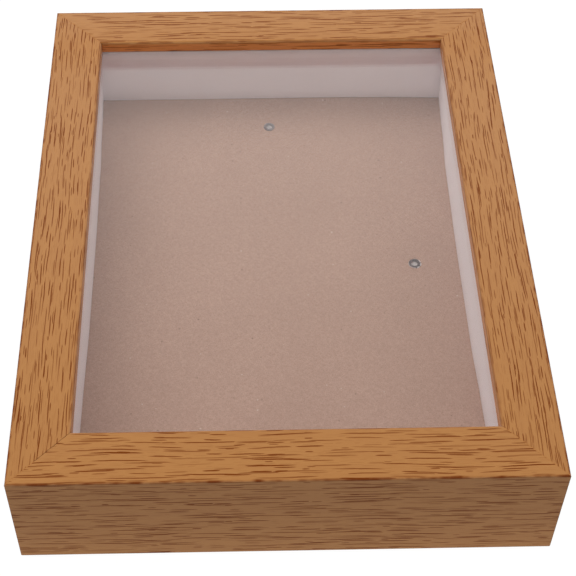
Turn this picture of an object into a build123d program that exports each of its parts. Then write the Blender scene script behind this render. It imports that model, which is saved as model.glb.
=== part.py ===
from build123d import *
import math
import os

# A shadow box frame that lies on its back.
# +Z points out of the front face, +Y to the top of an upright picture and +X to its right.
# The origin is the middle of the back plane. All sizes are in millimetres.

# Picture size: the pane and the backing board are cut to it
picture_width = 152.0
picture_length = 204.0
pane_play = 1.0

# Moulding: a deep wall with a lip at the front
wall_thickness = 14.0
lip_overlap = 6.0
lip_thickness = 5.0
front_edge_radius = 0.5
lip_edge_radius = 0.8
back_edge_radius = 1.4
rebate_edge_radius = 0.5
mitre_gap = 0.16

# What lies in the rebate, from the lip to the back
glass_thickness = 2.0
glass_edge_break = 0.2
display_depth = 27.5
spacer_thickness = 5.0
spacer_end_play = 0.3
spacer_edge_break = 0.25
board_thickness = 2.5
board_edge_break = 0.3
back_recess = 9.0

# Steel wedges in the mitres
wedge_leg = 4.5
wedge_thickness = 0.6
wedge_height = 10.0
wedge_sink = 0.5
wedge_first_setback = 4.0
wedge_last_cover = 1.0

# Bendable tabs that hold the board
tab_width = 8.0
tab_thickness = 0.45
tab_reach = 9.0
tab_buried = 6.0
tab_bend_offset = 0.5
tab_bend_play = 0.05
tab_board_play = 0.1
tab_tip_radius = 1.5
short_side_tab_spacing = 80.0
long_side_tab_spacing = 120.0

# Hangers: a folded strap, a wire ring and a hollow rivet each, set by eye near the middle of a side
rivet_setback = 22.0
top_rivet_offset = -1.2
side_rivet_offset = 2.1
strap_width = 8.5
strap_thickness = 0.8
strap_fold_gap = 0.1
strap_loop_reach = 7.5
strap_flat_run = 0.8
strap_slope_run = 2.4
ring_wire = 1.8
ring_play = 0.05
ring_half_width = 6.5
ring_corner_radius = 2.0
ring_side = 3.0
rivet_shank_radius = 1.5
rivet_hole_play = 0.05
rivet_head_radius = 2.6
rivet_head_height = 0.9
rivet_head_rim = 0.3
rivet_bore_radius = 1.1
rivet_bore_depth = 3.4
flare_radius = 2.35
flare_height = 0.6
flare_lip = 0.3
flare_round = 0.25
split_width = 0.3
split_count = 5
split_floor = 0.1

# Levels that follow from the stack
board_back = back_recess
board_front = board_back + board_thickness
glass_back = board_front + display_depth
lip_back = glass_back + glass_thickness
case_depth = lip_back + lip_thickness

# Plan sizes that follow from the picture size and the moulding
opening_width = picture_width + 2 * pane_play
opening_length = picture_length + 2 * pane_play
outer_width = opening_width + 2 * wall_thickness
outer_length = opening_length + 2 * wall_thickness
face_width = wall_thickness + lip_overlap

# The four sides. In a side's own frame X runs along the rail, Y points inwards from the rail's
# outer face and Z points to the front.
side_places = {
    "bottom": Pos(0, -outer_length / 2, 0),
    "right": Pos(outer_width / 2, 0, 0) * Rot(0, 0, 90),
    "top": Pos(0, outer_length / 2, 0) * Rot(0, 0, 180),
    "left": Pos(-outer_width / 2, 0, 0) * Rot(0, 0, 270),
}
rail_lengths = {
    "bottom": outer_width,
    "right": outer_length,
    "top": outer_width,
    "left": outer_length,
}
tab_spacings = {
    "bottom": short_side_tab_spacing,
    "right": long_side_tab_spacing,
    "top": short_side_tab_spacing,
    "left": long_side_tab_spacing,
}
tab_ends = {
    "bottom": ("left", "right"),
    "right": ("lower", "upper"),
    "top": ("right", "left"),
    "left": ("upper", "lower"),
}


# Rails


def rounded(face, corner, radius):
    """The face with the vertex nearest to the corner rounded."""
    vertex = face.vertices().sort_by_distance((corner[0], corner[1], 0))[0]
    return fillet(vertex, radius)


def rail_section():
    """Section of the moulding: X inwards from the outer face, Y from the back to the front."""
    outline = Polyline(
        (0, 0),
        (wall_thickness, 0),
        (wall_thickness, lip_back),
        (face_width, lip_back),
        (face_width, case_depth),
        (0, case_depth),
        close=True,
    )
    section = make_face(outline)
    section = rounded(section, (0, 0), back_edge_radius)
    section = rounded(section, (wall_thickness, 0), rebate_edge_radius)
    section = rounded(section, (face_width, case_depth), lip_edge_radius)
    return rounded(section, (0, case_depth), front_edge_radius)


def mitred_rail(length):
    """One rail in its side's frame, cut at 45 degrees at both ends."""
    start = Plane(origin=(-length / 2, 0, 0), x_dir=(0, 1, 0), z_dir=(1, 0, 0))
    bar = extrude(start * rail_section(), amount=length)
    outer_half = length / 2 - mitre_gap / math.sqrt(2)
    inner_half = outer_half - face_width
    plan = make_face(
        Polyline(
            (-outer_half, 0),
            (outer_half, 0),
            (inner_half, face_width),
            (-inner_half, face_width),
            close=True,
        )
    )
    return bar & extrude(plan, amount=case_depth)


# Corner wedges


def wedge_prism(corner_x, corner_y, setback, low, high):
    """One V-shaped wedge whose point aims at an outer corner of the frame."""
    inward_x = -math.copysign(1, corner_x)
    inward_y = -math.copysign(1, corner_y)
    point_x = corner_x + inward_x * setback
    point_y = corner_y + inward_y * setback
    half = wedge_thickness / 2
    middle = wedge_leg / 2
    centre_z = (low + high) / 2
    along_x = Pos(point_x + inward_x * middle, point_y + inward_y * half, centre_z)
    along_y = Pos(point_x + inward_x * half, point_y + inward_y * middle, centre_z)
    leg_x = along_x * Box(wedge_leg, wedge_thickness, high - low)
    leg_y = along_y * Box(wedge_thickness, wedge_leg, high - low)
    return leg_x + leg_y


def wedge_places():
    """Corner and setback of every wedge: two on each mitre."""
    last_setback = wall_thickness - wedge_last_cover - wedge_leg
    places = []
    for corner_x in (-outer_width / 2, outer_width / 2):
        for corner_y in (-outer_length / 2, outer_length / 2):
            for setback in (wedge_first_setback, last_setback):
                places.append((corner_x, corner_y, setback))
    return places


# Tabs, in a side's frame


def tab_level():
    """Height of the middle of a tab's thickness."""
    return board_back - tab_board_play - tab_thickness / 2


def tab_anchor(along):
    """The part of a tab that is driven into the rail, up to its bend."""
    end = wall_thickness + tab_bend_offset - tab_thickness / 2 - tab_bend_play
    start = wall_thickness - tab_buried
    return Pos(along, (start + end) / 2, tab_level()) * Box(tab_width, end - start, tab_thickness)


def tab_blade(along):
    """The part of a tab that bends: flat, round at the bend and with a rounded tip."""
    bend = wall_thickness + tab_bend_offset
    flat = Pos(along, bend + tab_reach / 2, tab_level()) * Box(tab_width, tab_reach, tab_thickness)
    tips = flat.edges().filter_by(Axis.Z).group_by(Axis.Y)[-1]
    flat = fillet(tips, tab_tip_radius)
    root = Pos(along, bend, tab_level()) * Rot(0, 90, 0) * Cylinder(tab_thickness / 2, tab_width)
    return flat + root


# Hangers, in a frame with its origin under the rivet and +X towards the edge of the board


ring_axis_height = board_back - strap_thickness - ring_wire / 2 - ring_play


def hanger_strap():
    """A strip folded round the ring's bar, both layers under the rivet."""
    inner = ring_wire / 2 + ring_play
    outer = inner + strap_thickness
    half = strap_width / 2
    upper_face = board_back - strap_thickness
    lower_face = upper_face - strap_fold_gap
    loop_floor = ring_axis_height - inner
    bend_start = strap_loop_reach - strap_flat_run
    bend_end = bend_start - strap_slope_run
    slope = math.atan2(lower_face - loop_floor, strap_slope_run)
    shift = strap_thickness * math.tan(slope / 2)
    outline = [
        Line((-half, board_back), (strap_loop_reach, board_back)),
        ThreePointArc(
            (strap_loop_reach, board_back),
            (strap_loop_reach + outer, ring_axis_height),
            (strap_loop_reach, ring_axis_height - outer),
        ),
        Polyline(
            (strap_loop_reach, ring_axis_height - outer),
            (bend_start - shift, ring_axis_height - outer),
            (bend_end - shift, lower_face - strap_thickness),
            (-half, lower_face - strap_thickness),
            (-half, lower_face),
            (bend_end, lower_face),
            (bend_start, loop_floor),
            (strap_loop_reach, loop_floor),
        ),
        ThreePointArc(
            (strap_loop_reach, loop_floor),
            (strap_loop_reach + inner, ring_axis_height),
            (strap_loop_reach, upper_face),
        ),
        Polyline(
            (strap_loop_reach, upper_face),
            (-half, upper_face),
            (-half, board_back),
        ),
    ]
    section = make_face(Curve() + outline)
    upright = Plane(origin=(0, half, 0), x_dir=(1, 0, 0), z_dir=(0, -1, 0))
    folded = extrude(upright * section, amount=strap_width)
    tail = Circle(half) + Pos(strap_loop_reach, 0) * Rectangle(2 * strap_loop_reach, strap_width)
    folded = folded & extrude(tail, amount=board_back)
    return folded - rivet_hole()


def rivet_hole():
    """Hole for the rivet through the strap and the board."""
    centre = Pos(0, 0, board_front / 2)
    return centre * Cylinder(rivet_shank_radius + rivet_hole_play, board_front)


def hanging_ring():
    """A D of bent wire whose straight bar turns in the strap's loop."""
    bar = ring_half_width - ring_corner_radius
    start = strap_loop_reach
    middle = start + ring_side
    bend = ring_corner_radius * (1 - math.sqrt(0.5))
    path = Curve() + [
        Line((start, -bar), (start, bar)),
        ThreePointArc(
            (start, bar),
            (start + bend, ring_half_width - bend),
            (start + ring_corner_radius, ring_half_width),
        ),
        Line((start + ring_corner_radius, ring_half_width), (middle, ring_half_width)),
        ThreePointArc(
            (middle, ring_half_width),
            (middle + ring_half_width, 0),
            (middle, -ring_half_width),
        ),
        Line((middle, -ring_half_width), (start + ring_corner_radius, -ring_half_width)),
        ThreePointArc(
            (start + ring_corner_radius, -ring_half_width),
            (start + bend, bend - ring_half_width),
            (start, -bar),
        ),
    ]
    across = Plane(origin=(start, 0, 0), x_dir=(1, 0, 0), z_dir=(0, 1, 0))
    ring = sweep(across * Circle(ring_wire / 2), path=path)
    return Pos(0, 0, ring_axis_height) * ring


def hollow_rivet(splits):
    """A hollow rivet with its domed head behind the strap and its rolled end in the display space."""
    seat = board_back - 2 * strap_thickness - strap_fold_gap
    top = board_front + flare_height
    dome = seat - rivet_head_height
    inner_rim = rivet_bore_radius + flare_lip
    profile = [
        TangentArc((0, dome), (rivet_head_radius, seat - rivet_head_rim), tangent=(1, 0)),
        Polyline(
            (rivet_head_radius, seat - rivet_head_rim),
            (rivet_head_radius, seat),
            (rivet_shank_radius, seat),
            (rivet_shank_radius, board_front),
            (flare_radius, board_front),
            (flare_radius, top - flare_round),
        ),
        RadiusArc((flare_radius, top - flare_round), (flare_radius - flare_round, top), -flare_round),
        Polyline(
            (flare_radius - flare_round, top),
            (inner_rim, top),
            (rivet_bore_radius, top - flare_lip),
            (rivet_bore_radius, top - rivet_bore_depth),
            (0, top - rivet_bore_depth),
            (0, dome),
        ),
    ]
    half_section = make_face(Curve() + profile)
    rivet = revolve(Plane.XZ * half_section, axis=Axis.Z)
    for number in range(splits):
        turn = Rot(0, 0, 360 * (number + 0.5) / splits)
        slit = Box(flare_radius, split_width, flare_height)
        place = Pos(flare_radius / 2 + rivet_bore_radius / 2, 0, board_front + split_floor + flare_height / 2)
        rivet -= turn * place * slit
    return rivet


hanger_places = {
    "top": Pos(top_rivet_offset, picture_length / 2 - rivet_setback, 0) * Rot(0, 0, 90),
    "side": Pos(picture_width / 2 - rivet_setback, side_rivet_offset, 0),
}
rivet_splits = {"top": 0, "side": split_count}


# Sheets and strips in the rebate


def sheet(thickness, base, edge_break):
    """A flat sheet of the picture size with its edges broken."""
    blank = Pos(0, 0, base + thickness / 2) * Box(picture_width, picture_length, thickness)
    return chamfer(blank.edges(), edge_break)


def spacer_strip(length):
    """A strip on edge against the rebate wall, in its side's frame."""
    across = wall_thickness + spacer_thickness / 2
    level = board_front + display_depth / 2
    strip = Pos(0, across, level) * Box(length, spacer_thickness, display_depth)
    return fillet(strip.edges().filter_by(Axis.X), spacer_edge_break)


spacer_lengths = {
    "bottom": opening_width - 2 * spacer_thickness - 2 * spacer_end_play,
    "right": opening_length - 2 * spacer_end_play,
    "top": opening_width - 2 * spacer_thickness - 2 * spacer_end_play,
    "left": opening_length - 2 * spacer_end_play,
}


# The whole frame


def build_nodes():
    """Every node by its name."""
    nodes = {}

    slots = []
    wedges = []
    slot_top = wedge_sink + wedge_height
    for corner_x, corner_y, setback in wedge_places():
        wedges.append(wedge_prism(corner_x, corner_y, setback, wedge_sink, slot_top))
        slots.append(wedge_prism(corner_x, corner_y, setback, 0, slot_top))
    nodes["corner_wedges"] = Compound(wedges)

    anchors = []
    for side, place in side_places.items():
        rail = place * mitred_rail(rail_lengths[side])
        for slot in slots:
            rail -= slot
        for end, sign in zip(tab_ends[side], (-1, 1)):
            along = sign * tab_spacings[side] / 2
            anchor = place * tab_anchor(along)
            rail -= anchor
            anchors.append(anchor)
            nodes[f"{side}_tab_{end}"] = place * tab_blade(along)
        nodes[f"{side}_rail"] = rail
        nodes[f"{side}_spacer"] = place * spacer_strip(spacer_lengths[side])
    nodes["tab_anchors"] = Compound(anchors)

    nodes["glass_pane"] = sheet(glass_thickness, glass_back, glass_edge_break)

    board = sheet(board_thickness, board_back, board_edge_break)
    for hanger, place in hanger_places.items():
        board -= place * rivet_hole()
        nodes[f"{hanger}_hanger_strap"] = place * hanger_strap()
        nodes[f"{hanger}_hanging_ring"] = place * hanging_ring()
        nodes[f"{hanger}_rivet"] = place * hollow_rivet(rivet_splits[hanger])
    nodes["backing_board"] = board
    return nodes


os.makedirs("parts", exist_ok=True)
for name, shape in build_nodes().items():
    export_step(shape, f"parts/{name}.step")
    print(name)
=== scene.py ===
import math

import bmesh
import bpy
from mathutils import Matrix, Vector


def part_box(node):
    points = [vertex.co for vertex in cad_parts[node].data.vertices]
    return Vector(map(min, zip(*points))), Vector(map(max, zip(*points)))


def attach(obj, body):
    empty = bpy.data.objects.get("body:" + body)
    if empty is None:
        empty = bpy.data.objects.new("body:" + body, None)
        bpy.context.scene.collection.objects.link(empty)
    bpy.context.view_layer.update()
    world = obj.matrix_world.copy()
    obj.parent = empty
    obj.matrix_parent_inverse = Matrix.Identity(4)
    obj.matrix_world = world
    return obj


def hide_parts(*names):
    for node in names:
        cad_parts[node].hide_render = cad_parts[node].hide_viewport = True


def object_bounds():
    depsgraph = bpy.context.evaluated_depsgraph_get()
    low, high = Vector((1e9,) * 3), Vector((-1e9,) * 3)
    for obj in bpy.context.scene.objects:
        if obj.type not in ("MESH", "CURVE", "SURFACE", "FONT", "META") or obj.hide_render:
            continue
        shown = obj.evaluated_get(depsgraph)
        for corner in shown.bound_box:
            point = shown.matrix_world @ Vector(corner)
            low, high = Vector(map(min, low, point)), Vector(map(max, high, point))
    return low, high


# Shadow box frame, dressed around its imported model. Lengths are in metres, or in millimetres where
# a comment says so.

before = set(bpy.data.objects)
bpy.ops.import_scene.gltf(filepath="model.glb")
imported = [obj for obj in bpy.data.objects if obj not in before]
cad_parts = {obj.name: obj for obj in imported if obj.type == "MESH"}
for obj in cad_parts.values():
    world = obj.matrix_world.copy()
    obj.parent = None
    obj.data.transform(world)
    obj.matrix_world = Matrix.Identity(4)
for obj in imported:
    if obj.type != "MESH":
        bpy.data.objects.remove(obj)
cad_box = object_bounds()

MM = 0.001

# The frame's own measures, read from its pieces
half_width, half_length, case_depth = cad_box[1]
glass_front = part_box("glass_pane")[1].z
board_back, board_front = (corner.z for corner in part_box("backing_board"))
rebate_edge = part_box("left_spacer")[0].x
wall_thickness = half_width + rebate_edge
lip_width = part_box("left_rail")[1].x + half_width

# Camera: where it stood, its turn in degrees, and its lens and film in millimetres
camera_place = (-14.67 * MM, -361.78 * MM, 440.30 * MM)
camera_turn = (41.0225, -0.1004, -1.1638)
camera_lens = 89.42
camera_film = 36.0
camera_shift = (0.0479, -0.0660)
camera_nearest = 0.01
camera_farthest = 20.0


# Nodes

white = (1, 1, 1, 1)


class Shader:
    """The nodes of a material or of the surroundings, with short calls for the kinds they share."""

    def __init__(self, owner, output="ShaderNodeOutputMaterial"):
        owner.use_nodes = True
        self.owner = owner
        self.tree = owner.node_tree
        self.tree.nodes.clear()
        self.output = self.node(output)

    def node(self, kind, **settings):
        made = self.tree.nodes.new(kind)
        for key, value in settings.items():
            setattr(made, key, value)
        return made

    def put(self, socket, value):
        """A link if value is a socket, and otherwise a plain number, vector or colour."""
        if isinstance(value, bpy.types.NodeSocket):
            self.tree.links.new(value, socket)
        else:
            socket.default_value = value

    def math(self, operation, a, b=0.0):
        made = self.node("ShaderNodeMath", operation=operation)
        self.put(made.inputs[0], a)
        self.put(made.inputs[1], b)
        return made.outputs[0]

    def plus(self, a, b):
        return self.math("ADD", a, b)

    def minus(self, a, b):
        return self.math("SUBTRACT", a, b)

    def times(self, a, b):
        return self.math("MULTIPLY", a, b)

    def over(self, a, b):
        return self.math("DIVIDE", a, b)

    def larger(self, a, b):
        return self.math("MAXIMUM", a, b)

    def unsigned(self, a):
        return self.math("ABSOLUTE", a)

    def vector(self, operation, a, b):
        made = self.node("ShaderNodeVectorMath", operation=operation)
        self.put(made.inputs[0], a)
        self.put(made.inputs[1], b)
        return made.outputs[0]

    def range(self, value, low, high, to_low=0.0, to_high=1.0):
        """Value mapped from one range to another, held within it."""
        made = self.node("ShaderNodeMapRange")
        made.clamp = True
        for socket, number in zip(made.inputs, (value, low, high, to_low, to_high)):
            self.put(socket, number)
        return made.outputs[0]

    def mix(self, share, a, b):
        """Colour a turning into colour b."""
        made = self.node("ShaderNodeMix", data_type="RGBA")
        self.put(made.inputs[0], share)
        self.put(made.inputs[6], a)
        self.put(made.inputs[7], b)
        return made.outputs[2]

    def parts(self, vector):
        made = self.node("ShaderNodeSeparateXYZ")
        self.put(made.inputs[0], vector)
        return made.outputs

    def flat(self, along, across):
        """Two numbers as a place on a flat sheet."""
        made = self.node("ShaderNodeCombineXYZ")
        self.put(made.inputs[0], along)
        self.put(made.inputs[1], across)
        return made.outputs[0]

    def place(self):
        """The surface's place on the object, in metres."""
        return self.node("ShaderNodeTexCoord").outputs["Object"]

    def millimetres(self):
        """The surface's place on the object, in millimetres."""
        return self.vector("MULTIPLY", self.place(), (1000, 1000, 1000))

    def noise(self, place, size, detail=2.0, rough=0.5):
        """Soft noise whose features are as large as size, in the units of place."""
        made = self.node("ShaderNodeTexNoise", noise_dimensions="3D")
        self.put(made.inputs["Vector"], self.vector("DIVIDE", place, size))
        made.inputs["Scale"].default_value = 1.0
        made.inputs["Detail"].default_value = detail
        made.inputs["Roughness"].default_value = rough
        return made.outputs["Fac"]

    def cells(self, place, dimensions):
        """The nearest of scattered points: its distance, its random colour and its position."""
        made = self.node("ShaderNodeTexVoronoi", feature="F1", voronoi_dimensions=dimensions)
        self.put(made.inputs["Vector"], place)
        made.inputs["Scale"].default_value = 1.0
        return made.outputs["Distance"], made.outputs["Color"], made.outputs["Position"]

    def bump(self, height, distance, strength, normal=None):
        made = self.node("ShaderNodeBump")
        made.inputs["Strength"].default_value = strength
        made.inputs["Distance"].default_value = distance
        self.put(made.inputs["Height"], height)
        if normal is not None:
            self.put(made.inputs["Normal"], normal)
        return made.outputs[0]

    def rays(self, kind):
        """1 for light paths of one kind, and 0 for all others."""
        return self.node("ShaderNodeLightPath").outputs[kind]

    def glow(self, strength, colour=white):
        made = self.node("ShaderNodeEmission")
        made.inputs["Color"].default_value = colour
        self.put(made.inputs["Strength"], strength)
        return made.outputs[0]

    def see_through(self, colour=white):
        made = self.node("ShaderNodeBsdfTransparent")
        made.inputs["Color"].default_value = colour
        return made.outputs[0]

    def principled(self, **inputs):
        made = self.node("ShaderNodeBsdfPrincipled")
        for key, value in inputs.items():
            self.put(made.inputs[key.replace("_", " ")], value)
        return made.outputs[0]

    def blend(self, share, a, b):
        """Surface a turning into surface b."""
        made = self.node("ShaderNodeMixShader")
        self.put(made.inputs[0], share)
        self.put(made.inputs[1], a)
        self.put(made.inputs[2], b)
        return made.outputs[0]

    def done(self, surface):
        """Ends the nodes with a surface, and gives back what they belong to."""
        self.put(self.output.inputs["Surface"], surface)
        return self.owner


def new_finish(name):
    """The still empty nodes of a new material."""
    return Shader(bpy.data.materials.new(name))


# Finishes. All sizes in them are in millimetres. A noise is given as the size of its features along
# three axes, its detail, and its roughness where that isn't a half. A turn is given as the values
# where it starts and ends, and then what is reached at its start and end, where that isn't 0 and 1

soft_turn = (0.3, 0.7)
short_turn = (0.35, 0.65)

# A relief that hardly shows: how far its highest parts stand out, in metres, and its strength
faint_relief = (0.02 * MM, 0.5)

# Oak foil: its print and its pores, and painted light on the inner faces of the lips of the cross
# and upright rails: brighter and more orange for bounced light, lighter still on the upright rails
foil_light = (0.420, 0.188, 0.056, 1)
foil_deep = (0.403, 0.177, 0.053, 1)
foil_folded = (0.362, 0.118, 0.028, 1)
foil_pore = (0.148, 0.028, 0.002, 1)
painted_light_lip_across = (0.545, 0.166, 0.040, 1)
painted_light_lip_upright = (0.720, 0.300, 0.120, 1)
streak_noise = ((60.0, 3.0, 1.0), 2.0, 0.6)
streak_turn = (0.38, 0.62)
grain_noise = ((2.6, 0.34, 1.0), 2.0, 0.6)
grain_turn = (0.40, 0.72, 0.0, 0.10)
painted_lip_light_turn = (0.5, 1.6, 0.0, 0.85)

# Its roughness, and its varnish, which is thinner on the sides and in the pores
foil_roughness = 0.36
pore_roughness = 0.10
varnish_roughness = 0.16
varnish_turn = (0.3, 0.9, 0.70, 1.0)
varnish_lost_in_pores = 0.80

# Each kind of pore: how far apart they lie along and across the grain, where their pattern starts,
# the least and the most half length and half width of one, and how soft its edge is
long_pores = ((26.0, 1.70), 3.0, (4.5, 12.5), (0.18, 0.27), 0.05)
middle_pores = ((18.0, 2.80), 41.0, (2.6, 8.0), (0.15, 0.26), 0.05)
short_pores = ((13.0, 4.2), 77.0, (1.2, 4.0), (0.14, 0.25), 0.05)
fine_pores = ((7.0, 0.7), 97.0, (1.0, 3.4), (0.05, 0.11), 0.06)
fine_pore_share = 0.30
faintest_pore = 0.62
steepest_pore = 0.022
start_across = 1.7

# Powers that make long and wide pores rare, and factors that shuffle a pore's random numbers
long_pore_power = 1.4
wide_pore_power = 1.6
pore_shuffle = (7.3, 5.1)

# Pores are fainter in some places
crowd_noise = ((26.0, 5.0, 1.0), 1.0)
crowd_turn = (0.34, 0.48, 0.60, 1.0)

# The grain sways, wobbles and frays: the noise of each, and how far it moves a place across
sway_noise = ((55.0, 30.0, 1.0), 1.0)
wobble_noise = ((6.0, 2.5, 1.0), 1.0)
fray_noise = ((0.9, 0.6, 1.0), 1.0)
sway_width = 2.6
wobble_width = 0.34
fray_width = 0.08

# Painted shade: a dark, broken line over the outer arris and over the lip's edge, where the rounded
# edge turns away from the light, out to a distance from them
broken_noise = ((13.0, 30.0, 1.0), 2.0, 0.7)
broken_turn = (0.44, 0.56, 0.22, 0.95)
lip_broken_turn = (0.22, 0.95, 0.15, 0.55)
painted_arris_shade_turn = (0.35, 0.95, 1.0, 0.0)
painted_lip_edge_shade_turn = (0.4, 1.0, 1.0, 0.0)
painted_shade_wobble = 0.8

# Each rail's print is shifted along it to one side or the other, so that facing rails differ
print_shift = 317.0
cross_print_scale = (1.0, 1.0)
upright_print_scale = (0.85, 0.80)

# Fibreboard core: bare in the rebate, and on the back further in than the foil is wrapped round
core_colour = (0.270, 0.160, 0.085, 1)
core_fibre = (0.360, 0.235, 0.140, 1)
core_noise = ((0.9, 0.9, 0.35), 3.0, 0.7)
core_roughness = 0.85
wrapped_width = 4.0
torn_width = 0.3
rebate_slack = 0.05
back_slack = 0.03


def pores(s, along, across, pitch, start, half_length, half_width, soft):
    """Printed pores: thin tapered dashes, one to each cell of a scattered grid."""
    spot = s.flat(
        s.plus(s.over(along, pitch[0]), start),
        s.plus(s.over(across, pitch[1]), start * start_across),
    )
    _, colour, middle = s.cells(spot, "2D")
    run, rise, _ = s.parts(s.vector("SUBTRACT", spot, middle))
    run = s.times(run, pitch[0])
    rise = s.times(rise, pitch[1])
    one, two, three = s.parts(colour)
    length = s.range(s.math("POWER", one, long_pore_power), 0.0, 1.0, *half_length)
    width = s.range(s.math("POWER", two, wide_pore_power), 0.0, 1.0, *half_width)
    rise = s.plus(rise, s.times(run, s.range(three, 0.0, 1.0, -steepest_pore, steepest_pore)))
    reach = s.over(run, length)
    reach = s.times(reach, reach)
    taper = s.minus(1.0, s.times(reach, reach))
    body = s.minus(s.times(width, taper), s.unsigned(rise))
    shuffled = s.plus(s.times(one, pore_shuffle[0]), s.times(two, pore_shuffle[1]))
    strength = s.range(s.math("FRACT", shuffled), 0.0, 1.0, faintest_pore, 1.0)
    return s.times(s.range(body, -0.5 * soft, 0.5 * soft), strength)


def pores_and_painted_edge_shade(s, sheet, along, across, inward, depth):
    """How dark the pores and the painted shade on the arrises are, from 0 on plain foil to 1 at the
    darkest.
    """
    sway = s.minus(s.noise(sheet, *sway_noise), 0.5)
    wobble = s.minus(s.noise(sheet, *wobble_noise), 0.5)
    fray = s.minus(s.noise(sheet, *fray_noise), 0.5)
    across = s.plus(across, s.times(sway, sway_width))
    across = s.plus(across, s.times(wobble, wobble_width))
    across = s.plus(across, s.times(fray, fray_width))

    marks = s.larger(pores(s, along, across, *long_pores), pores(s, along, across, *middle_pores))
    marks = s.larger(marks, pores(s, along, across, *short_pores))
    marks = s.times(marks, s.range(s.noise(sheet, *crowd_noise), *crowd_turn))
    marks = s.larger(marks, s.times(pores(s, along, across, *fine_pores), fine_pore_share))

    # Painted shade along the outer arris and along the lip's edge
    broken = s.range(s.noise(sheet, *broken_noise), *broken_turn)
    uneven = s.times(wobble, painted_shade_wobble)
    from_arris = s.plus(s.plus(s.unsigned(inward), s.unsigned(depth)), uneven)
    painted_arris_shade = s.times(s.range(from_arris, *painted_arris_shade_turn), broken)
    from_lip = s.unsigned(s.minus(inward, lip_width / MM))
    from_lip = s.plus(from_lip, s.plus(s.unsigned(depth), uneven))
    painted_lip_edge_shade = s.times(s.range(from_lip, *painted_lip_edge_shade_turn), s.range(broken, *lip_broken_turn))
    return s.larger(s.larger(marks, painted_arris_shade), painted_lip_edge_shade)


def bare_core(s, z, from_side, from_end, fibre):
    """1 where no foil covers the core, and 0 on the foil."""
    from_edge = s.math("MINIMUM", from_side, from_end)
    in_rebate = s.math("GREATER_THAN", from_edge, wall_thickness / MM - rebate_slack)
    behind_lip = s.math("LESS_THAN", z, glass_front / MM + rebate_slack)
    on_back = s.math("LESS_THAN", z, back_slack)
    torn_edge = s.plus(from_edge, s.range(fibre, *soft_turn, -torn_width, torn_width))
    unwrapped = s.math("GREATER_THAN", torn_edge, wrapped_width)
    return s.larger(s.times(in_rebate, behind_lip), s.times(on_back, unwrapped))


def oak_foil(name, along_axis, painted_lip_tone, print_scale):
    """Printed oak foil with its pores along the rail and painted light on the lip's inner face, over
    a bare fibreboard core in the rebate.
    """
    s = new_finish(name)
    place = s.millimetres()
    x, y, z = s.parts(place)
    from_side = s.minus(half_width / MM, s.unsigned(x))
    from_end = s.minus(half_length / MM, s.unsigned(y))
    run, other, inward = (x, y, from_end) if along_axis == 0 else (y, x, from_side)

    # The foil is one flat sheet. Down the outer and the inner face, a place lies as far past the
    # fold as it is deep
    depth = s.minus(case_depth / MM, z)
    inner_face = s.math("SIGN", s.minus(inward, 0.5 * wall_thickness / MM))
    along = s.plus(run, s.times(s.math("SIGN", other), print_shift))
    across = s.plus(inward, s.times(depth, inner_face))
    along = s.over(along, print_scale[0])
    across = s.over(across, print_scale[1])
    sheet = s.flat(along, across)
    # The marks are the pores and the painted shade along the arrises
    marks = pores_and_painted_edge_shade(s, sheet, along, across, inward, depth)

    streaks = s.range(s.noise(sheet, *streak_noise), *streak_turn)
    grain = s.range(s.noise(sheet, *grain_noise), *grain_turn)
    tone = s.mix(grain, s.mix(streaks, foil_light, foil_deep), foil_folded)
    # Painted light: the lip's inner face takes the brighter lip tone, which stands in for light
    # bounced into it
    painted_lip_light = s.times(s.range(inner_face, 0.0, 1.0), s.range(depth, *painted_lip_light_turn))
    foil = s.mix(marks, s.mix(painted_lip_light, tone, painted_lip_tone), foil_pore)
    fibre = s.noise(place, *core_noise)
    core = s.mix(s.range(fibre, *soft_turn), core_colour, core_fibre)
    bare = bare_core(s, z, from_side, from_end, fibre)

    rough = s.plus(s.times(marks, pore_roughness), foil_roughness)
    up = s.parts(s.node("ShaderNodeNewGeometry").outputs["Normal"])[2]
    varnish = s.times(s.minus(1.0, bare), s.range(up, *varnish_turn))
    varnish = s.times(varnish, s.minus(1.0, s.times(marks, varnish_lost_in_pores)))
    return s.done(s.principled(
        Base_Color=s.mix(bare, foil, core),
        Roughness=s.larger(rough, s.times(bare, core_roughness)),
        Normal=s.bump(s.times(marks, -1.0), *faint_relief),
        Specular_IOR_Level=0.03,
        Coat_Weight=varnish,
        Coat_Roughness=varnish_roughness,
    ))


glass_tint = (0.985, 0.995, 0.99, 1)
glass_shadow = (0.955, 0.96, 0.955, 1)


def clear_glass():
    """Clear float glass that lets the lamps through as a thin pane does."""
    s = new_finish("clear_glass")
    glass = s.principled(Base_Color=glass_tint, Roughness=0.0, IOR=1.5, Transmission_Weight=1.0)
    return s.done(s.blend(s.rays("Is Shadow Ray"), glass, s.see_through(glass_shadow)))


paper_light = (0.935, 0.862, 0.880, 1)
paper_dull = (0.905, 0.822, 0.838, 1)
paper_cloudy = (0.905, 0.832, 0.858, 1)
paper_fibre_noise = ((0.8, 0.8, 0.5), 3.0, 0.6)
paper_cloud_noise = ((22.0, 22.0, 14.0), 2.0)


def white_paper():
    """Matt white paper over the spacer strips."""
    s = new_finish("white_paper")
    place = s.millimetres()
    fibre = s.noise(place, *paper_fibre_noise)
    clouds = s.noise(place, *paper_cloud_noise)
    tone = s.mix(s.range(fibre, *soft_turn), paper_light, paper_dull)
    tone = s.mix(s.range(clouds, *short_turn, 0.0, 0.5), tone, paper_cloudy)
    relief = s.bump(fibre, *faint_relief)
    return s.done(s.principled(
        Base_Color=tone, Roughness=0.75, Normal=relief, Specular_IOR_Level=0.25
    ))


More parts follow.
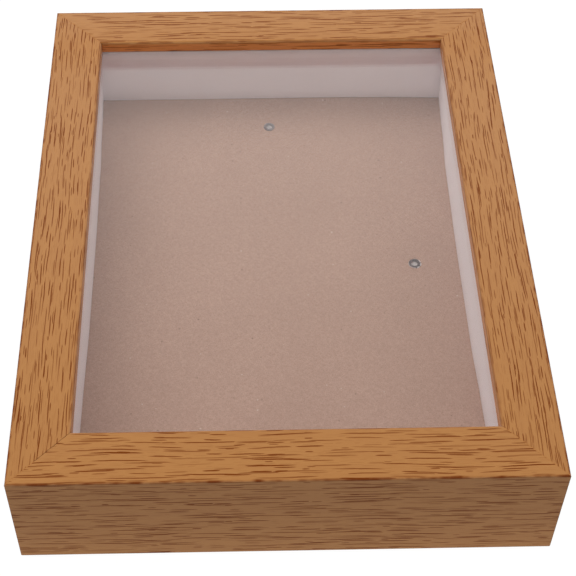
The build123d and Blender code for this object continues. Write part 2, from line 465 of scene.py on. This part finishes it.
board_light = (0.562, 0.362, 0.287, 1)
board_deep = (0.520, 0.333, 0.263, 1)
board_mottled = (0.415, 0.250, 0.190, 1)
board_fibre = (0.320, 0.184, 0.134, 1)
board_speck = (0.179, 0.103, 0.076, 1)
board_glint = (0.712, 0.606, 0.534, 1)
board_reverse = (0.267, 0.151, 0.098, 1)
board_cloud_noise = ((38.0, 38.0, 38.0), 3.0, 0.6)
mottle_noise = ((1.2, 1.2, 1.2), 3.0, 0.75)
mottle_turn = (0.36, 0.62, 0.0, 0.44)
fibres_across_noise = ((1.1, 0.24, 0.5), 2.0, 0.7)
fibres_along_noise = ((0.24, 1.1, 0.5), 2.0, 0.7)
fibres_turn = (0.52, 0.65, 0.0, 0.50)

# Specks and glints: the width of a cell, the share of cells that stay empty, and, in shares of that
# width, the radius of the largest and how soft its edge is
specks = (3.4, 0.5, 0.13, 0.04)
glints = (5.2, 0.6, 0.09, 0.03)
glints_moved = (71.0, 13.0, 5.0)
fleck_strength = 0.6

# The screen's print on the back: its waves, in radians to a millimetre, and its relief
screen_waves = 4.4
screen_relief = (0.12 * MM, 0.6)
reverse_share = 0.75
reverse_slack = 0.05


def flecks(s, place, width, empty, largest, soft):
    """Scattered round flecks, one at most to each cell of a grid."""
    distance, colour, _ = s.cells(s.vector("DIVIDE", place, (width, width, width)), "3D")
    reach = s.range(s.parts(colour)[0], empty, 1.0, 0.0, largest)
    return s.range(s.minus(reach, distance), 0.0, soft, 0.0, fleck_strength)


def hardboard():
    """Pinkish brown hardboard: a smooth fibrous face with flecks, and a screen's print behind."""
    s = new_finish("hardboard")
    place = s.millimetres()
    x, y, z = s.parts(place)
    clouds = s.range(s.noise(place, *board_cloud_noise), *soft_turn)
    mottle = s.range(s.noise(place, *mottle_noise), *mottle_turn)
    across = s.noise(place, *fibres_across_noise)
    fibres = s.larger(across, s.noise(place, *fibres_along_noise))
    tone = s.mix(clouds, board_light, board_deep)
    tone = s.mix(mottle, tone, board_mottled)
    tone = s.mix(s.range(fibres, *fibres_turn), tone, board_fibre)
    tone = s.mix(flecks(s, place, *specks), tone, board_speck)
    tone = s.mix(flecks(s, s.vector("ADD", place, glints_moved), *glints), tone, board_glint)

    behind = s.math("LESS_THAN", z, board_back / MM + reverse_slack)
    one_way = s.math("SINE", s.times(s.plus(x, y), screen_waves))
    other_way = s.math("SINE", s.times(s.minus(x, y), screen_waves))
    screen = s.times(s.times(one_way, other_way), behind)
    tone = s.mix(s.times(behind, reverse_share), tone, board_reverse)
    relief = s.bump(screen, *screen_relief, s.bump(fibres, *faint_relief))
    return s.done(s.principled(
        Base_Color=tone, Roughness=0.7, Normal=relief, Specular_IOR_Level=0.3
    ))


# Each steel: its bright and its dull colour, its least roughness, and how metallic it is. The three
# rivet steels are one steel painted at three levels of light: deep shade, shade and highlight
steel_looks = {
    "zinc_plate": ((0.62, 0.62, 0.63, 1), (0.50, 0.50, 0.52, 1), 0.28, 1.0),
    "dark_steel": ((0.25, 0.205, 0.205, 1), (0.14, 0.11, 0.11, 1), 0.45, 0.35),
    "painted_shade_steel": ((0.40, 0.345, 0.345, 1), (0.31, 0.265, 0.265, 1), 0.45, 0.35),
    "painted_highlight_steel": ((0.86, 0.79, 0.78, 1), (0.74, 0.67, 0.66, 1), 0.50, 0.35),
    "spring_steel": ((0.42, 0.42, 0.43, 1), (0.33, 0.33, 0.345, 1), 0.32, 1.0),
}
steel_cloud_noise = ((1.6, 1.6, 1.6), 3.0, 0.6)
steel_dulling = 0.15
scratch_noise = ((2.4, 0.06, 0.06), 2.0, 0.6)
scratch_relief = (0.004 * MM, 0.4)


def plated_steel(name, bright, dull, rough, metal):
    """Steel with a thin plating, cloudy and finely scratched."""
    s = new_finish(name)
    place = s.millimetres()
    clouds = s.noise(place, *steel_cloud_noise)
    tone = s.mix(s.range(clouds, *soft_turn), bright, dull)
    roughness = s.range(clouds, *soft_turn, rough, rough + steel_dulling)
    relief = s.bump(s.noise(place, *scratch_noise), *scratch_relief)
    return s.done(s.principled(
        Base_Color=tone, Metallic=metal, Roughness=roughness, Normal=relief
    ))


glue_light = (0.430, 0.180, 0.045, 1)
glue_deep = (0.380, 0.150, 0.038, 1)
glue_cloud_noise = ((1.2, 1.2, 1.2), 3.0, 0.6)


def brown_glue():
    """Brown glue wiped level with the foil."""
    s = new_finish("glue")
    clouds = s.noise(s.millimetres(), *glue_cloud_noise)
    tone = s.mix(s.range(clouds, *short_turn), glue_light, glue_deep)
    relief = s.bump(clouds, *faint_relief)
    return s.done(s.principled(
        Base_Color=tone, Roughness=0.55, Normal=relief, Specular_IOR_Level=0.3
    ))


def dress(node, material):
    """Gives a CAD piece its finish."""
    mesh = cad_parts[node].data
    mesh.materials.clear()
    mesh.materials.append(material)


# Modelling

# How near a corner has to lie to a place to be taken for it
touching = 0.01 * MM

# The share of its length that an edge has to run along an axis, to be taken as running along it
straight_share = 0.99
sharp_arris = math.radians(50)
smooth_bend = math.radians(35)
rounding_steps = 2


def box_piece(name, low, high):
    """A box between two corners, as the start of a piece."""
    bpy.ops.object.select_all(action="DESELECT")
    middle = [(a + b) / 2 for a, b in zip(low, high)]
    size = [b - a for a, b in zip(low, high)]
    bpy.ops.mesh.primitive_cube_add(size=1.0, location=middle, scale=size)
    piece = bpy.context.active_object
    piece.name = name
    bpy.ops.object.transform_apply(location=True, rotation=True, scale=True)
    return piece


def choose(piece, kind, test):
    """Selects the corners, edges or faces of which every corner passes the test."""
    bpy.ops.mesh.select_mode(type=kind)
    bpy.ops.mesh.select_all(action="DESELECT")
    mesh = bmesh.from_edit_mesh(piece.data)
    for part in {"VERT": mesh.verts, "EDGE": mesh.edges, "FACE": mesh.faces}[kind]:
        corners = (part,) if kind == "VERT" else part.verts
        if all(test(corner.co) for corner in corners):
            part.select_set(True)
    bmesh.update_edit_mesh(piece.data)


def choose_along(piece, axis):
    """Selects the edges that run along an axis."""
    bpy.ops.mesh.select_mode(type="EDGE")
    bpy.ops.mesh.select_all(action="DESELECT")
    mesh = bmesh.from_edit_mesh(piece.data)
    for edge in mesh.edges:
        run = edge.verts[1].co - edge.verts[0].co
        if abs(run[axis]) > straight_share * run.length:
            edge.select_set(True)
    bmesh.update_edit_mesh(piece.data)


def round_off(piece, width):
    """Rounds the piece's sharp arrises."""
    rounding = piece.modifiers.new("rounding", "BEVEL")
    rounding.width = width
    rounding.segments = rounding_steps
    rounding.limit_method = "ANGLE"
    rounding.angle_limit = sharp_arris
    bpy.ops.object.modifier_apply(modifier=rounding.name)


def settle(piece, materials, body, slot, *nodes):
    """Smooths a finished piece, gives it its finish and body, and hides the CAD pieces that it
    stands for.
    """
    bpy.ops.object.shade_smooth_by_angle(angle=smooth_bend)
    for material in materials:
        piece.data.materials.append(material)
    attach(piece, body)
    if nodes:
        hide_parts(*nodes)


# Spacer strips. How far each has crept into the case, in millimetres, at places along it
strip_creeps = {
    "left": (
        (-103, -1.0), (-64, -0.3), (-25, 0.3), (15, 0.35), (55, 0.1), (80, -0.5), (103, -1.0)
    ),
    "right": (
        (-103, -1.3), (-62, -0.2), (-40, 0.5), (10, 0.7), (52, 0.4), (75, -0.5), (103, -1.3)
    ),
    "top": ((-73, 0.2), (30, 0.25), (50, 0.6), (73, 1.3)),
    "bottom": ((-73, 0.3), (0, 0.6), (73, 0.2)),
}
creep_left_at_top = 0.25

# How far the foot of each is lifted, in millimetres, at its first and at its last end
strip_lifts = {"left": (0.1, 0.1), "right": (0.1, 0.1), "top": (0.0, 0.32), "bottom": (0.1, 0.1)}

# The cross strips run on behind the ends of the upright ones, on the left and on the right
cross_strip_overrun = (1.3 * MM, 1.8 * MM)

# Only corners this near to a strip's inner face are moved. A strip is cut into stations along its
# length, and into levels over its height
strip_face_depth = 3.0 * MM
strip_stations = 28
strip_levels = 5
strip_rounding = 0.3 * MM


def creep(side, along):
    """How far a strip has crept in at a place along it, eased between the places given."""
    places = strip_creeps[side]
    for (start, first), (end, last) in zip(places, places[1:]):
        if along <= end:
            share = max(0.0, (along - start) / (end - start))
            return first + (last - first) * share * share * (3 - 2 * share)
    return places[-1][1]


def spacer_strip(side, material):
    """A paper-covered strip that stands on edge and has bowed a little out of line."""
    low, high = (Vector(corner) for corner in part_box(f"{side}_spacer"))
    run, across = (1, 0) if side in ("left", "right") else (0, 1)
    inward = 1 if side in ("left", "bottom") else -1
    if run == 0:
        low.x -= cross_strip_overrun[0]
        high.x += cross_strip_overrun[1]
    inner_face = high[across] if inward > 0 else low[across]
    piece = box_piece(f"{side}_strip", low, high)
    bpy.ops.object.mode_set(mode="EDIT")
    choose_along(piece, run)
    bpy.ops.mesh.subdivide(number_cuts=strip_stations - 1)
    choose_along(piece, 2)
    bpy.ops.mesh.subdivide(number_cuts=strip_levels - 1)
    for station in range(strip_stations + 1):
        along = low[run] + (high[run] - low[run]) * station / strip_stations
        for level in range(strip_levels + 1):
            height = low.z + (high.z - low.z) * level / strip_levels

            def here(place):
                on_face = abs(place[across] - inner_face) < strip_face_depth
                at_station = abs(place[run] - along) < touching
                return on_face and at_station and abs(place.z - height) < touching

            choose(piece, "VERT", here)
            move = [0.0, 0.0, 0.0]
            share = 1 - (1 - creep_left_at_top) * level / strip_levels
            move[across] = inward * share * creep(side, along / MM) * MM
            if level == 0:
                first, last = strip_lifts[side]
                move[2] = (first + (last - first) * station / strip_stations) * MM
            bpy.ops.transform.translate(value=move)
    bpy.ops.object.mode_set(mode="OBJECT")
    round_off(piece, strip_rounding)
    settle(piece, [material], "case", "spacer_white", f"{side}_spacer")


# Rivets. Their turned outline, in millimetres. An arc has its first and its last angle in degrees
# and its steps. The bore is given by radius and height over its bottom
rivet_sides = 60
rivet_head_radius = 2.6
rivet_head_height = 0.9
rivet_head_arc = (-84, 0, 8)
rivet_seat = board_back / MM - 1.7
rivet_shank_radius = 1.5
rivet_roll_middle = 1.80
rivet_roll_radius = 0.52
rivet_roll_height = 0.40
rivet_roll_arc = (-25, 180, 14)
rivet_roll_level = board_front / MM + 0.17
rivet_bore_depth = 0.75
rivet_bore = ((1.25, 0.4), (1.21, 0.12), (1.0, 0.0), (0.5, 0.10), (0.15, 0.14))

# Radii that tell the rivet's parts apart, in millimetres
middle_outside = 0.1
roll_inside = 1.2
bore_outside = 1.27
petal_inside = 1.35
split_pulled_from = 1.7

# Splits in the rolled end: half their width in degrees, what is left of the roll's height in them,
# and what is left of its reach at their outer end
split_half_width = 4
split_height_left = 0.08
split_reach_left = 0.8


def oval_arc(middle, radii, start, end, steps):
    """Points of a turned outline on an oval arc, from one angle to another in degrees."""
    points = []
    for step in range(steps + 1):
        angle = math.radians(start + (end - start) * step / steps)
        radius = middle[0] + radii[0] * math.cos(angle)
        points.append((radius, middle[1] + radii[1] * math.sin(angle)))
    return points


def turned(name, centre, outline, sides):
    """A turned piece: one ring drawn out and sized from point to point of its outline."""
    bpy.ops.object.select_all(action="DESELECT")
    radius, level = outline[0]
    bpy.ops.mesh.primitive_circle_add(
        vertices=sides,
        radius=radius * MM,
        fill_type="TRIFAN",
        location=(centre[0], centre[1], level * MM),
    )
    piece = bpy.context.active_object
    piece.name = name
    bpy.ops.object.transform_apply(location=True, rotation=True, scale=True)
    bpy.ops.object.mode_set(mode="EDIT")

    def on_rim(place):
        return math.hypot(place.x - centre[0], place.y - centre[1]) > middle_outside * MM

    choose(piece, "EDGE", on_rim)
    axis = (centre[0], centre[1], 0)
    for (radius, level), (next_radius, next_level) in zip(outline, outline[1:]):
        rise = (next_level - level) * MM
        bpy.ops.mesh.extrude_edges_move(TRANSFORM_OT_translate={"value": (0, 0, rise)})
        share = next_radius / radius
        bpy.ops.transform.resize(value=(share, share, 1), center_override=axis)
    bpy.ops.mesh.merge(type="CENTER")
    bpy.ops.mesh.select_all(action="SELECT")
    bpy.ops.mesh.normals_make_consistent(inside=False)
    return piece


def rivet_outline():
    """Head, seat, shank, rolled end, bore and the closed bottom of the bore, from back to front."""
    head = oval_arc((0.0, rivet_seat), (rivet_head_radius, rivet_head_height), *rivet_head_arc)
    shank = [(rivet_shank_radius, rivet_seat), (rivet_shank_radius, board_front / MM)]
    roll_middle = (rivet_roll_middle, rivet_roll_level)
    roll = oval_arc(roll_middle, (rivet_roll_radius, rivet_roll_height), *rivet_roll_arc)
    bottom = rivet_roll_level - rivet_bore_depth
    bore = [(radius, bottom + rise) for radius, rise in rivet_bore]
    return head + shank + roll + bore


def hollow_rivet(name, splits, petals, painted_highlight_from, materials):
    """A hollow rivet whose rolled end has split at angles into petals, with a painted highlight in
    its bore and rim.

    A petal has its first and last angle, how far it has spread, and what is left of its height."""
    low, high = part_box(f"{name}_rivet")
    centre = ((low.x + high.x) / 2, (low.y + high.y) / 2)
    piece = turned(f"{name}_hollow_rivet", centre, rivet_outline(), rivet_sides)

    def polar(place):
        x = place.x - centre[0]
        y = place.y - centre[1]
        return math.hypot(x, y) / MM, math.degrees(math.atan2(y, x))

    def on_roll(place):
        return place.z > board_front + 2 * touching and polar(place)[0] > roll_inside

    pivot = (centre[0], centre[1], board_front)
    for split in splits:
        def at_split(place):
            aside = (polar(place)[1] - split + 180) % 360 - 180
            return on_roll(place) and abs(aside) < split_half_width

        choose(piece, "VERT", at_split)
        bpy.ops.transform.resize(value=(1.0, 1.0, split_height_left), center_override=pivot)
        choose(piece, "VERT", lambda place: at_split(place) and polar(place)[0] > split_pulled_from)
        pull = (split_reach_left, split_reach_left, 1.0)
        bpy.ops.transform.resize(value=pull, center_override=pivot)
    for start, end, reach, height_left in petals:
        def on_petal(place):
            radius, angle = polar(place)
            return on_roll(place) and start < angle < end and radius > petal_inside

        choose(piece, "VERT", on_petal)
        bpy.ops.transform.resize(value=(reach, reach, height_left), center_override=pivot)
    piece.data.materials.clear()
    bpy.ops.object.mode_set(mode="OBJECT")
    settle(piece, materials, "case", "dark_steel", f"{name}_rivet")
    # Painted highlight: the bore and the rolled end beyond the given radius take the second,
    # brighter steel
    for face in piece.data.polygons:
        reaches = [polar(piece.data.vertices[corner].co)[0] for corner in face.vertices]
        painted_highlight = max(reaches) < bore_outside or min(reaches) > painted_highlight_from
        if painted_highlight and face.center.z > board_back:
            face.material_index = 1


# Glue in the mitres. Each line runs from near the outer corner to near the inner one
glue_width = 0.15 * MM
glue_sink = 0.03 * MM
glue_bottom = 11.0 * MM
glue_start = 0.4 * MM
glue_end_short = 0.3 * MM
glue_over_glass = 0.1 * MM
glue_end_drop = 0.3 * MM
glue_front_depth = 0.5 * MM
glue_lengths = 8


def mitre_glue(name, side, end, open_from, open_depth, material):
    """The glue line in one mitre: flush at the front, and shrunk away from open_from inwards."""
    wall_end = wall_thickness * math.sqrt(2) - glue_end_short
    lip_end = lip_width * math.sqrt(2) - glue_end_short
    top = case_depth - glue_sink
    lip_floor = glass_front + glue_over_glass
    low = (glue_start, -0.5 * glue_width, glue_bottom)
    piece = box_piece(name, low, (wall_end, 0.5 * glue_width, top))

    def on_wall_end(place):
        return place.x > wall_end - touching and place.z > lip_floor - touching

    def on_lip_tip(place):
        return place.x > lip_end - touching and place.z > top - touching

    def on_open_front(place):
        return place.x > open_from and place.z > top - glue_front_depth

    bpy.ops.object.mode_set(mode="EDIT")
    bpy.ops.mesh.select_all(action="SELECT")
    bpy.ops.mesh.bisect(plane_co=(0, 0, lip_floor), plane_no=(0, 0, 1))
    choose(piece, "FACE", on_wall_end)
    to_lip_end = {"value": (lip_end - wall_end, 0, 0)}
    bpy.ops.mesh.extrude_region_move(TRANSFORM_OT_translate=to_lip_end)
    choose_along(piece, 0)
    bpy.ops.mesh.subdivide(number_cuts=glue_lengths - 1)
    choose(piece, "VERT", on_lip_tip)
    bpy.ops.transform.translate(value=(0, 0, -glue_end_drop))
    if open_depth > 0:
        choose(piece, "VERT", on_open_front)
        bpy.ops.transform.translate(value=(0, 0, -open_depth))
    bpy.ops.object.mode_set(mode="OBJECT")
    piece.rotation_euler.z = math.atan2(-end, -side)
    piece.location = (side * half_width, end * half_length, 0)
    bpy.ops.object.transform_apply(location=True, rotation=True, scale=True)
    settle(piece, [material], "case", "oak_foil")


# Dressing

# The two foils differ in the grain's direction, the print's size and the painted light on their lips
foil_across = oak_foil("oak_foil_across", 0, painted_light_lip_across, cross_print_scale)
foil_upright = oak_foil("oak_foil_upright", 1, painted_light_lip_upright, upright_print_scale)
dress("bottom_rail", foil_across)
dress("top_rail", foil_across)
dress("left_rail", foil_upright)
dress("right_rail", foil_upright)
dress("glass_pane", clear_glass())
dress("backing_board", hardboard())

paper = white_paper()
for side in ("bottom", "top", "left", "right"):
    spacer_strip(side, paper)

steels = {name: plated_steel(name, *looks) for name, looks in steel_looks.items()}
for node in ("top_hanger_strap", "side_hanger_strap", "top_hanging_ring", "side_hanging_ring"):
    dress(node, steels["zinc_plate"])
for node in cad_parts:
    if "_tab_" in node or node in ("corner_wedges", "tab_anchors"):
        dress(node, steels["spring_steel"])

# The rolled end of the top rivet is whole, and that of the side rivet has split
# Painted shade and highlight: the side rivet's steel is darker than the top one's, and both take a
# bright steel for highlights
whole_steel = [steels["painted_shade_steel"], steels["painted_highlight_steel"]]
split_steel = [steels["dark_steel"], steels["painted_highlight_steel"]]
side_splits = (96, 48, 6, -36, -78)
side_petals = ((50, 94, 1.06, 0.9), (8, 46, 1.16, 0.7), (-34, 4, 1.20, 0.7), (-76, -38, 1.14, 0.8))
side_painted_highlight_from = 2.20
hollow_rivet("top", (), (), rivet_head_radius, whole_steel)
hollow_rivet("side", side_splits, side_petals, side_painted_highlight_from, split_steel)

# The glue has shrunk away in the near left mitre only: from how far in, and by how much
glue = brown_glue()
shrunk = (14.5 * MM, 1.2 * MM)
full = (0, 0)
mitre_glue("near_left_glue", -1, -1, *shrunk, glue)
mitre_glue("near_right_glue", 1, -1, *full, glue)
mitre_glue("far_left_glue", -1, 1, *full, glue)
mitre_glue("far_right_glue", 1, 1, *full, glue)


# Floor, surroundings and lamps

floor_size = 6.0
floor_drop = 0.05 * MM
floor_white = 0.85
floor_bounce = 0.10
floor_glow = 1.06
glow_lost_in_gloss = 0.70
glow_share_turn = (0.0, 1.0, 0.5, 0.90)

# The floor's glow beside the frame ends at a distance from it, and that under the frame at its edge
beside_glow_turn = (0.03, 0.06, 1.20, 0.0)
under_glow_turn = (-0.004, -0.002, 1.0, 0.0)


def seen_share(s):
    """1 where the camera, a reflection or a view through glass looks, and 0 for falling light."""
    seen = s.larger(s.rays("Is Camera Ray"), s.rays("Is Glossy Ray"))
    return s.larger(seen, s.rays("Is Transmission Ray"))


def pale_floor():
    """A white floor, clear from below, that keeps the frame's soft shadow and glows onto it."""
    s = new_finish("pale_floor")
    x, y, _ = s.parts(s.place())
    apart = s.larger(s.minus(s.unsigned(x), half_width), s.minus(s.unsigned(y), half_length))
    seen = seen_share(s)
    matt = s.node("ShaderNodeBsdfDiffuse")
    s.put(matt.inputs["Color"], s.larger(s.times(seen, floor_white), floor_bounce))
    lost = s.times(s.rays("Is Glossy Ray"), glow_lost_in_gloss)
    shown = s.minus(s.times(seen, floor_glow), lost)
    falling = s.plus(s.range(apart, *beside_glow_turn), s.range(apart, *under_glow_turn))
    glowing = s.glow(s.plus(shown, s.times(s.minus(1.0, seen), falling)))
    from_above = s.blend(s.range(seen, *glow_share_turn), matt.outputs[0], glowing)
    below = s.node("ShaderNodeNewGeometry").outputs["Backfacing"]
    return s.done(s.blend(below, from_above, s.see_through()))


bpy.ops.object.select_all(action="DESELECT")
bpy.ops.mesh.primitive_plane_add(size=floor_size, location=(0, 0, -floor_drop))
floor = bpy.context.active_object
floor.name = "floor"
floor.data.materials.append(pale_floor())

card_behind = 0.300
card_width = 0.9
card_low = 0.2175
card_high = 0.2303
painted_reflection_brown = (0.20, 0.0, 0.0, 1)


def painted_reflection_card(place, width, height):
    """A card behind the frame, out of the picture, that glows brown and is seen only in reflections:
    a painted reflection for the glass to mirror.
    """
    bpy.ops.object.select_all(action="DESELECT")
    upright = (math.pi / 2, 0, 0)
    bpy.ops.mesh.primitive_plane_add(size=1.0, location=place, rotation=upright)
    card = bpy.context.active_object
    card.name = "card"
    card.scale = (width, height, 1.0)
    s = new_finish("painted_reflection_card")
    card.data.materials.append(s.done(s.glow(1.0, painted_reflection_brown)))
    card.visible_camera = False
    card.visible_diffuse = False
    card.visible_shadow = False


painted_reflection_card((0, card_behind, 0.5 * (card_low + card_high)), card_width, card_high - card_low)

# Turns of the surroundings by height, from 0 at the horizon to 1 overhead: what is mirrored, the
# low light into the high light, and the light of the top
mirrored_turn = (0.70, 0.90, 1.22, 0.06)
height_turn = (0.30, 0.42)
top_turn = (0.90, 0.98, 0.0, 0.36)

# Turns by direction: the front into the rest, the low light of the rest into that of the front, and
# the high light of the back into that of the sides
front_turn = (-0.25, 0.15, 1.0, 0.0)
low_turn = (0.0, 1.0, 1.0, 0.70)
high_turn = (-0.10, 0.30, 0.05, 0.62)
high_front_strength = 1.62


def light_dome():
    """White surroundings that are dim overhead where they are mirrored.

    The light that falls from them on the frame has its own strength in each direction."""
    s = Shader(bpy.data.worlds.new("studio"), "ShaderNodeOutputWorld")
    right, back, up = s.parts(s.node("ShaderNodeTexCoord").outputs["Generated"])
    mirrored = s.range(up, *mirrored_turn)
    front = s.range(s.plus(back, s.unsigned(right)), *front_turn)
    low = s.range(front, *low_turn)
    high = s.range(s.minus(s.unsigned(right), s.unsigned(back)), *high_turn)
    high = s.plus(high, s.times(front, s.minus(high_front_strength, high)))
    falling = s.plus(low, s.times(s.range(up, *height_turn), s.minus(high, low)))
    falling = s.plus(falling, s.range(up, *top_turn))
    seen = seen_share(s)
    strength = s.plus(s.times(mirrored, seen), s.times(s.minus(1.0, seen), falling))
    sky = s.node("ShaderNodeBackground")
    s.put(sky.inputs["Strength"], s.larger(strength, s.rays("Is Camera Ray")))
    return s.done(sky.outputs[0])


bpy.context.scene.world = light_dome()

# Each lamp's place, its width and its power in watts
lamps = {
    "left_lamp": ((-0.62, 0.10, 1.02), 1.0, 3.4),
    "right_lamp": ((0.62, 0.10, 1.02), 1.0, 2.95),
    "back_lamp": ((0.0, 0.60, 1.04), 0.5, 1.15),
    "back_left_lamp": ((-0.44, 0.53, 0.98), 0.9, 3.8),
}
lamp_aim = Vector((0, 0, 0.02))


def soft_lamp(name, place, width, watts):
    """A square soft lamp that glass and metal don't mirror.

    It is sampled directly and in no other way, so that the glass lets all of its light through."""
    data = bpy.data.lights.new(name, "AREA")
    data.shape = "SQUARE"
    data.size = width
    data.energy = watts
    data.cycles.use_multiple_importance_sampling = False
    lamp = bpy.data.objects.new(name, data)
    bpy.context.scene.collection.objects.link(lamp)
    lamp.location = place
    lamp.rotation_euler = (lamp_aim - Vector(place)).to_track_quat("-Z", "Y").to_euler()
    lamp.visible_glossy = False
    lamp.visible_transmission = False


for name, settings in lamps.items():
    soft_lamp(name, *settings)

camera_data = bpy.data.cameras.new("camera")
camera_data.sensor_width = camera_film
camera_data.lens = camera_lens
camera_data.shift_x, camera_data.shift_y = camera_shift
camera_data.clip_start = camera_nearest
camera_data.clip_end = camera_farthest
camera = bpy.data.objects.new("camera", camera_data)
bpy.context.scene.collection.objects.link(camera)
camera.location = camera_place
camera.rotation_euler = [math.radians(angle) for angle in camera_turn]
bpy.context.scene.camera = camera
bpy.context.scene.view_settings.view_transform = "Standard"
